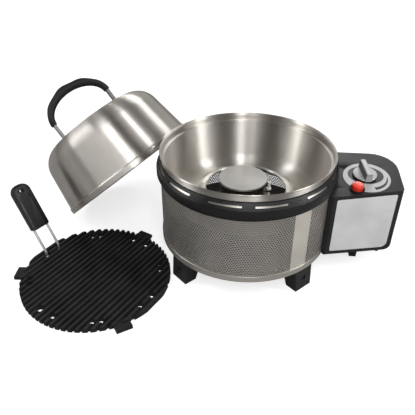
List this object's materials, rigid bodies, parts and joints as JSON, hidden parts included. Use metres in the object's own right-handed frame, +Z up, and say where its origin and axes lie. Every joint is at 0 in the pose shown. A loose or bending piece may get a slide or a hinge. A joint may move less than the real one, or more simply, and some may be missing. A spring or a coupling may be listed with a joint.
{
  "type": "portable gas grill",
  "caption": "Round portable gas grill with a lift-out steel bowl over a burner, a side gas box with knob and igniter, a domed lid leaning on it and a ribbed griddle with its lifter beside it.",
  "frame": {"origin": "on the ground under the axis of the round body", "axes": "+X from the body's axis to the gas box, +Z up, the control side faces -Y"},
  "size_m": [0.7122, 0.5082, 0.2686],
  "materials": {
    "mesh_steel": "perforated sheet, satin",
    "plain_steel": "satin sheet",
    "bowl_steel": "circular brushed",
    "lid_steel": "circular brushed",
    "black_gloss": "glossy moulded",
    "black_matt": "fine moulded grain",
    "grip_black": "satin moulded",
    "label_silver": "satin plate",
    "dial_silver": "satin plate",
    "knob_silver": "silver lacquer",
    "button_red": "glossy moulded",
    "burner_dark": "dark heat-stained",
    "cap_steel": "dull satin",
    "strap_steel": "plain",
    "brass": "turned",
    "ceramic": "glazed",
    "lead_black": "smooth",
    "screw_steel": "plain",
    "cartridge_paint": "gloss paint",
    "griddle_black": "non-stick coated",
    "wire_steel": "plated wire"
  },
  "bodies": {
    "root": {"mesh_shell": "mesh_steel", "shell_seam": "plain_steel", "trim_ring": "plain_steel", "base_pan": "plain_steel", "foot_front_left": "black_matt", "foot_front_right": "black_matt", "foot_rear_left": "black_matt", "foot_rear_right": "black_matt", "foot_screws": "screw_steel", "top_ring": "black_gloss", "burner_drum": "burner_dark", "burner_cap": "cap_steel", "burner_bracket": "strap_steel", "bracket_rivet": "screw_steel", "mixing_tube": "strap_steel", "gas_jet": "brass", "gas_pipe": "brass", "electrode_ceramic": "ceramic", "electrode_wire": "wire_steel", "igniter_lead": "lead_black", "box_housing": "black_matt", "label_plate": "label_silver", "box_base": "black_matt", "box_screws": "screw_steel", "door_hinge_pin": "wire_steel", "dial_plate": "dial_silver", "valve_body": "brass", "piezo_igniter": "grip_black", "button_collar": "grip_black", "gas_cartridge": "cartridge_paint"},
    "bowl": {"bowl": "bowl_steel"},
    "lid": {"lid_shell": "lid_steel", "lid_handle_legs": "strap_steel", "lid_handle_grip": "grip_black", "lid_handle_screws": "screw_steel"},
    "griddle": {"griddle_plate": "griddle_black"},
    "lifter": {"lifter_wires": "wire_steel", "lifter_grip": "grip_black"},
    "knob": {"control_knob": "knob_silver", "valve_spindle": "brass"},
    "button": {"igniter_button": "button_red"},
    "door": {"cartridge_door": "black_matt"}
  },
  "joints": [
    {"name": "bowl_lift", "type": "slide", "parent": "root", "child": "bowl", "axis": [0, 0, 1], "range_m": [0, 0.12]},
    {"name": "lid_lift", "type": "slide", "parent": "root", "child": "lid", "axis": [-0.2391, 0.099, 0.9659], "range_m": [0, 0.25]},
    {"name": "griddle_lift", "type": "slide", "parent": "root", "child": "griddle", "axis": [0, 0, 1], "range_m": [0, 0.03]},
    {"name": "lifter_pull", "type": "slide", "parent": "griddle", "child": "lifter", "axis": [0, 0, 1], "range_m": [0, 0.06]},
    {"name": "knob_turn", "type": "hinge", "parent": "root", "child": "knob", "pos_m": [0.208, -0.00496, 0.17485], "axis": [0, -0.1305, 0.9914], "range_deg": [0, 270]},
    {"name": "button_press", "type": "slide", "parent": "root", "child": "button", "axis": [0, 0.1305, -0.9914], "range_m": [0, 0.006], "stiffness_N_per_m": 400, "springref_m": -0.002},
    {"name": "door_swing", "type": "hinge", "parent": "root", "child": "door", "pos_m": [0.172, 0.068, 0.106], "axis": [0, 0, 1], "range_deg": [0, 105]}
  ]
}
